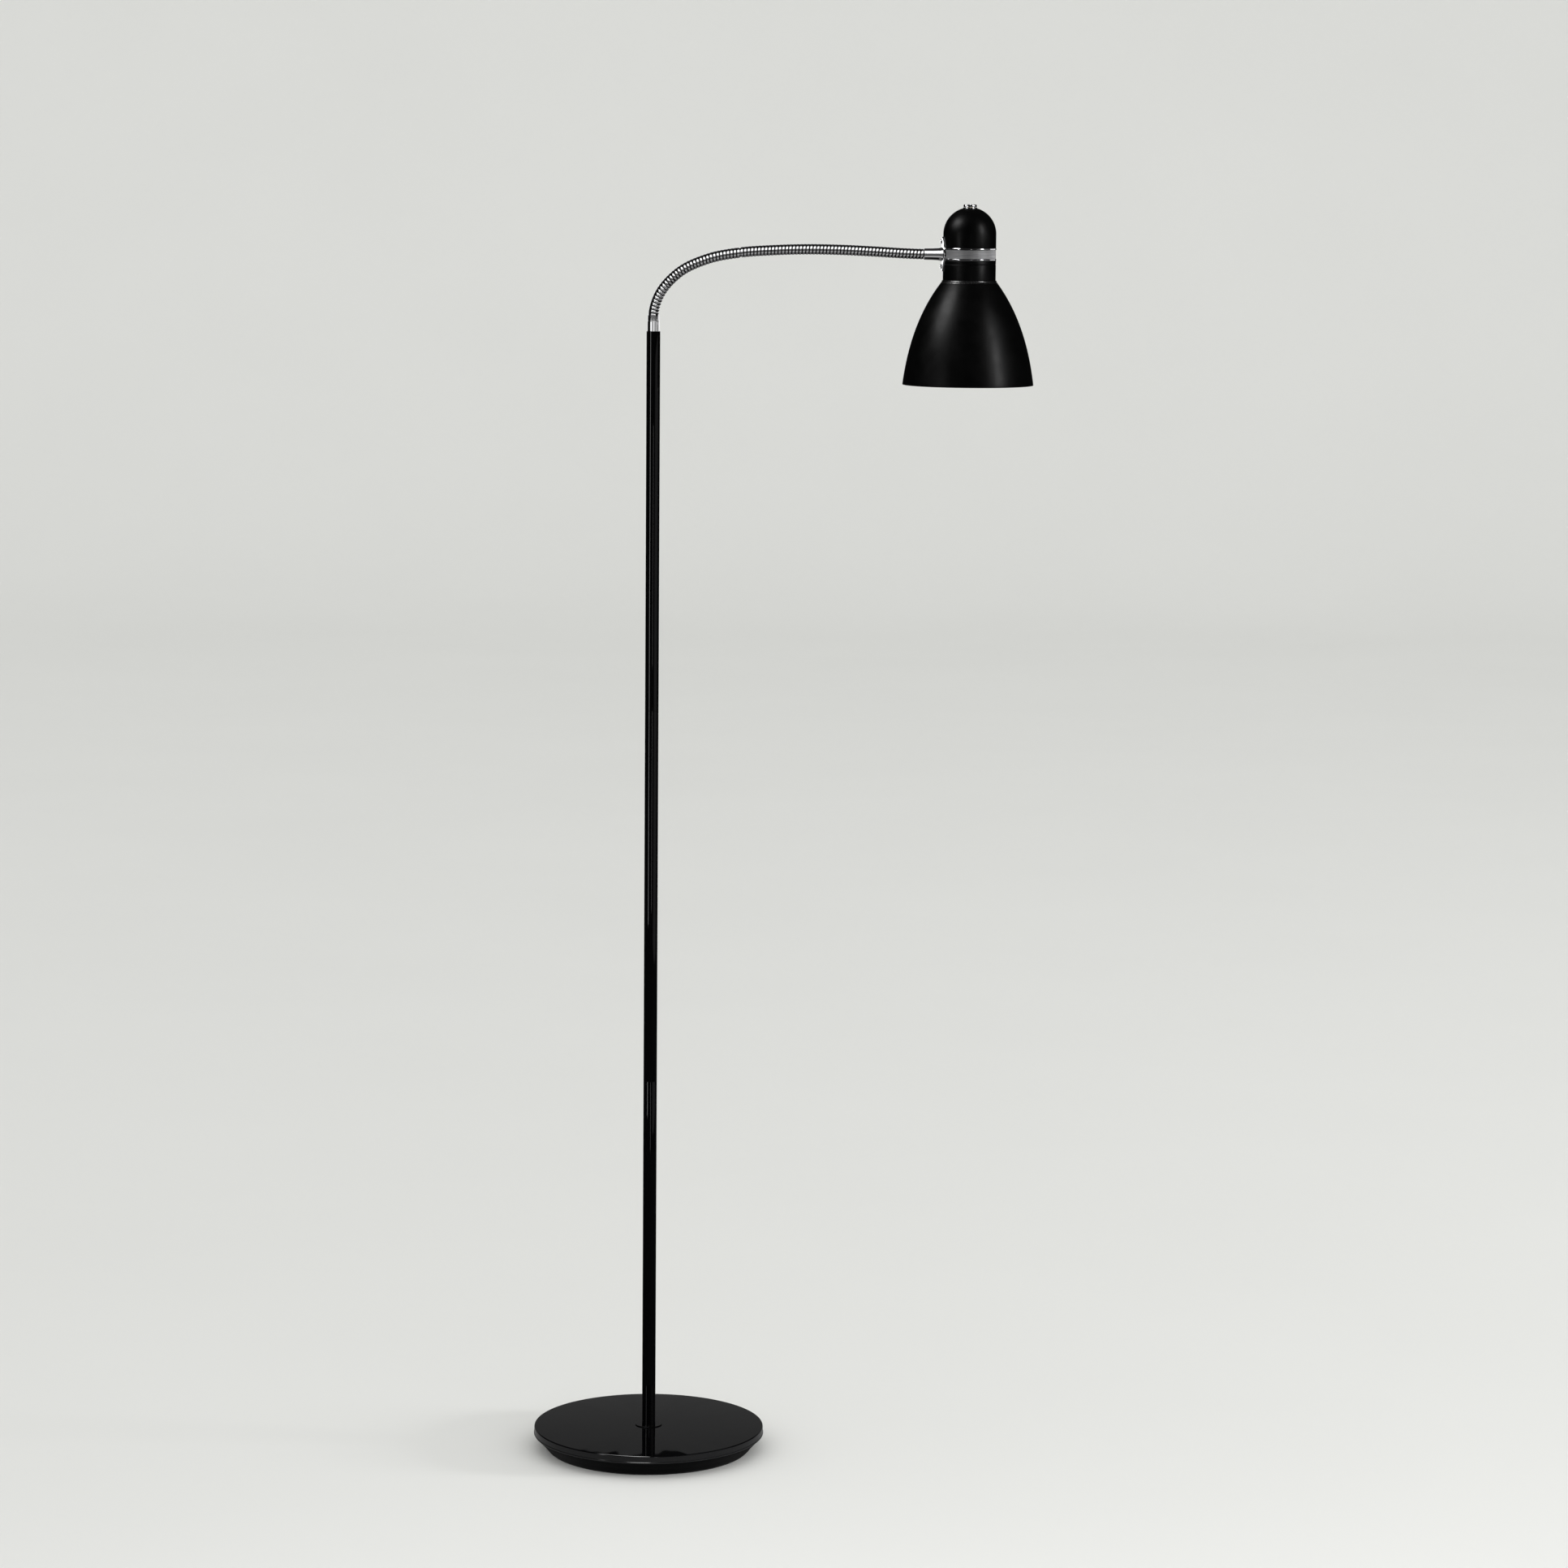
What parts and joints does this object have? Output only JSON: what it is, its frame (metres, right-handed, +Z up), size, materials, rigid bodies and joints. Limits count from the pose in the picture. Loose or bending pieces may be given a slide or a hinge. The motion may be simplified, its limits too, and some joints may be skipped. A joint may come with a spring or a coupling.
{
  "type": "arm floor lamp",
  "caption": "Floor lamp: round weighted base, slim black pole, chrome gooseneck arm and a black bell-shaped head with a chrome band and a rotary switch on its crown.",
  "frame": {"origin": "on the floor, at the centre of the base pad, on the pole's axis", "axes": "+Z up along the pole, +X the way the arm reaches at rest"},
  "size_m": [0.5478, 0.26, 1.402],
  "materials": {
    "black_gloss": "gloss black lacquer",
    "black_satin": "satin black enamel",
    "black_iron": "black painted cast iron",
    "polished_chrome": "polished chrome plate",
    "zinc_steel": "zinc plated steel",
    "brass": "turned brass",
    "black_rubber": "matte rubber",
    "felt_pad": "black felt",
    "black_bakelite": "moulded black",
    "white_ceramic": "glazed ceramic",
    "lead_jacket": "PVC jacket",
    "opal_glass": "opal glass"
  },
  "bodies": {
    "stand": {"base_pad": "felt_pad", "base_weight": "black_iron", "base_cover": "black_gloss", "foot_washer": "black_gloss", "base_nut": "zinc_steel", "base_lock_washer": "zinc_steel", "base_nipple": "zinc_steel", "cord_inlet": "black_rubber", "pole_foot_insert": "zinc_steel", "pole_lower": "black_gloss", "pole_middle": "black_gloss", "pole_upper": "black_gloss", "pole_couplings": "zinc_steel", "pole_top_insert": "zinc_steel", "lower_ferrule": "polished_chrome", "gooseneck_root": "polished_chrome", "lead_root": "lead_jacket"},
    "arm_link_1": {"gooseneck_1": "polished_chrome", "lead_1": "lead_jacket"},
    "arm_link_2": {"gooseneck_2": "polished_chrome", "lead_2": "lead_jacket"},
    "arm_link_3": {"gooseneck_3": "polished_chrome", "lead_3": "lead_jacket"},
    "arm_link_4": {"gooseneck_4": "polished_chrome", "lead_4": "lead_jacket"},
    "arm_link_5": {"gooseneck_5": "polished_chrome", "lead_5": "lead_jacket"},
    "arm_link_6": {"gooseneck_6": "polished_chrome", "lead_6": "lead_jacket"},
    "arm_link_7": {"gooseneck_7": "polished_chrome", "lead_7": "lead_jacket"},
    "arm_link_8": {"gooseneck_8": "polished_chrome", "lead_8": "lead_jacket"},
    "head": {"gooseneck_tip": "polished_chrome", "lead_tip": "lead_jacket", "head_ferrule": "polished_chrome", "ferrule_locknut": "zinc_steel", "mounting_flange": "polished_chrome", "flange_screws": "polished_chrome", "inner_cup": "zinc_steel", "ring_band": "polished_chrome", "dome_cap": "black_satin", "neck_sleeve": "black_satin", "lampholder_body": "black_bakelite", "lampholder_nipple": "zinc_steel", "shade_ring": "black_bakelite", "shade": "black_satin", "contact_block": "white_ceramic", "screw_shell": "brass", "bulb_cap": "zinc_steel", "bulb_glass": "opal_glass", "switch_body": "black_bakelite", "switch_nut": "black_satin", "switch_wires": "lead_jacket"},
    "knob": {"switch_knob": "polished_chrome", "switch_spindle": "zinc_steel"}
  },
  "joints": [
    {"name": "arm_root_bend", "type": "hinge", "parent": "stand", "child": "arm_link_1", "pos_m": [0.00407, 0, 1.29663], "axis": [0, 1, 0], "range_deg": [-16, 4]},
    {"name": "arm_swing", "type": "hinge", "parent": "arm_link_1", "child": "arm_link_2", "pos_m": [0.02647, 0, 1.32476], "axis": [-0.5519, 0, 0.8339], "range_deg": [-12, 12]},
    {"name": "arm_root_follow_3", "type": "hinge", "parent": "arm_link_2", "child": "arm_link_3", "pos_m": [0.05907, 0, 1.34074], "axis": [0, 1, 0], "range_deg": [-16, 4]},
    {"name": "arm_root_follow_4", "type": "hinge", "parent": "arm_link_3", "child": "arm_link_4", "pos_m": [0.0948, 0, 1.34794], "axis": [0, 1, 0], "range_deg": [-16, 4]},
    {"name": "arm_swing_follow_5", "type": "hinge", "parent": "arm_link_4", "child": "arm_link_5", "pos_m": [0.13119, 0, 1.3508], "axis": [-0.061, 0, 0.9981], "range_deg": [-12, 12]},
    {"name": "arm_tip_bend", "type": "hinge", "parent": "arm_link_5", "child": "arm_link_6", "pos_m": [0.16766, 0, 1.35207], "axis": [0, 1, 0], "range_deg": [-14, 14]},
    {"name": "arm_tip_follow_7", "type": "hinge", "parent": "arm_link_6", "child": "arm_link_7", "pos_m": [0.20416, 0, 1.35176], "axis": [0, 1, 0], "range_deg": [-14, 14]},
    {"name": "arm_swing_follow_8", "type": "hinge", "parent": "arm_link_7", "child": "arm_link_8", "pos_m": [0.24063, 0, 1.35032], "axis": [0.0523, 0, 0.9986], "range_deg": [-12, 12]},
    {"name": "arm_tip_follow_9", "type": "hinge", "parent": "arm_link_8", "child": "head", "pos_m": [0.27708, 0, 1.34841], "axis": [0, 1, 0], "range_deg": [-14, 14]},
    {"name": "switch_turn", "type": "hinge", "parent": "head", "child": "knob", "pos_m": [0.34583, 0, 1.39894], "axis": [0, 0, 1], "continuous": true}
  ],
  "couplings": [
    {"joint": "arm_root_follow_3", "follows": "arm_root_bend", "ratio": 1},
    {"joint": "arm_root_follow_4", "follows": "arm_root_bend", "ratio": 1},
    {"joint": "arm_swing_follow_5", "follows": "arm_swing", "ratio": 1},
    {"joint": "arm_tip_follow_7", "follows": "arm_tip_bend", "ratio": 1},
    {"joint": "arm_swing_follow_8", "follows": "arm_swing", "ratio": 1},
    {"joint": "arm_tip_follow_9", "follows": "arm_tip_bend", "ratio": 1}
  ]
}
